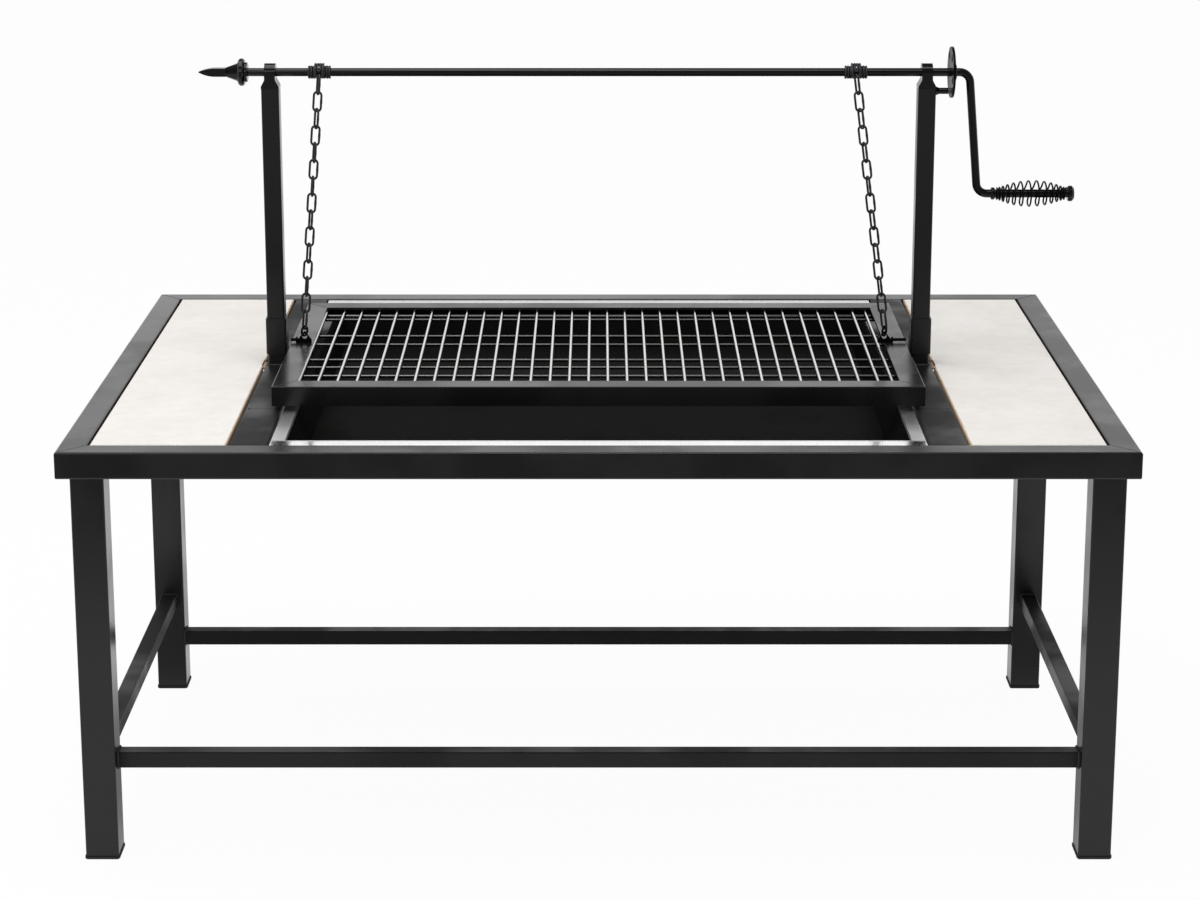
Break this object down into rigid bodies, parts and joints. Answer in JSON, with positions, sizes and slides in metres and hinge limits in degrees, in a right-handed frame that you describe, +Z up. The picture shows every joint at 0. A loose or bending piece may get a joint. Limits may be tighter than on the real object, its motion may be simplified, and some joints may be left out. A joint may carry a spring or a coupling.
{
  "type": "crank-adjustable grill",
  "caption": "Park-style table grill in black powder-coated steel with pale side tiles, a fire pan and a wire grill hung on chains from a hand-cranked axle with an index disc and spring grip.",
  "frame": {"origin": "on the floor under the centre of the table", "axes": "+X towards the crank, -Y towards the viewer, +Z up"},
  "size_m": [1.5528, 1, 1.179],
  "materials": {
    "powder_black": "satin powder coat",
    "forged_black": "satin black over forged steel",
    "chain_black": "blackened chain",
    "pan_black": "heat-proof black enamel",
    "stainless": "bright drawn stainless steel",
    "tile_cream": "honed pale stone, brown-beige at the edges",
    "plastic_black": "moulded black plastic"
  },
  "bodies": {
    "table": {"back_top_rail": "powder_black", "fire_pan": "pan_black", "foot_caps": "plastic_black", "front_left_leg": "powder_black", "front_right_leg": "powder_black", "front_stretcher": "powder_black", "front_top_rail": "powder_black", "left_bearing_head": "forged_black", "left_chain_upper": "chain_black", "left_cross_member": "powder_black", "left_post": "powder_black", "left_post_socket": "powder_black", "left_post_stub": "powder_black", "left_side_tile": "tile_cream", "left_stretcher": "powder_black", "left_top_rail": "powder_black", "lock_peg": "forged_black", "pan_ledges": "powder_black", "pan_rim": "stainless", "rear_left_leg": "powder_black", "rear_right_leg": "powder_black", "rear_stretcher": "powder_black", "right_bearing_head": "forged_black", "right_chain_upper": "chain_black", "right_cross_member": "powder_black", "right_post": "powder_black", "right_post_socket": "powder_black", "right_post_stub": "powder_black", "right_side_tile": "tile_cream", "right_stretcher": "powder_black", "right_top_rail": "powder_black", "tile_ledges": "powder_black"},
    "windings": {"left_chain_winding": "chain_black", "right_chain_winding": "chain_black"},
    "crank": {"crank_shaft": "forged_black", "spear_finial": "forged_black", "finial_collar": "forged_black", "index_disc": "forged_black", "disc_hub": "forged_black", "grip_bead": "forged_black", "grip_end_cap": "forged_black"},
    "grip": {"spring_grip": "forged_black"},
    "grill": {"grate_bars": "stainless", "grate_cross_rods": "stainless", "grate_end_rods": "stainless", "grill_back_rail": "powder_black", "grill_front_rail": "powder_black", "grill_left_rail": "powder_black", "grill_right_rail": "powder_black", "left_chain_lower": "chain_black", "left_chain_lug": "chain_black", "left_shackle": "chain_black", "left_lug_brace": "chain_black", "right_chain_lower": "chain_black", "right_chain_lug": "chain_black", "right_shackle": "chain_black", "right_lug_brace": "chain_black"}
  },
  "joints": [
    {"name": "crank_turn", "type": "hinge", "parent": "table", "child": "windings", "pos_m": [0, 0.0126, 1.139], "axis": [-1, 0, 0], "range_deg": [0, 1440]},
    {"name": "axle_slide", "type": "slide", "parent": "windings", "child": "crank", "axis": [1, 0, 0], "range_m": [-0.012, 0]},
    {"name": "grip_spin", "type": "hinge", "parent": "crank", "child": "grip", "pos_m": [0.68, 0.0126, 0.946], "axis": [1, 0, 0], "continuous": true},
    {"name": "grill_lift", "type": "slide", "parent": "table", "child": "grill", "axis": [0, 0, 1], "range_m": [0, 0.31667], "deforming": ["left_chain_upper", "right_chain_upper"]}
  ],
  "couplings": [
    {"joint": "grill_lift", "follows": "crank_turn", "m_per_rad": 0.0126}
  ]
}
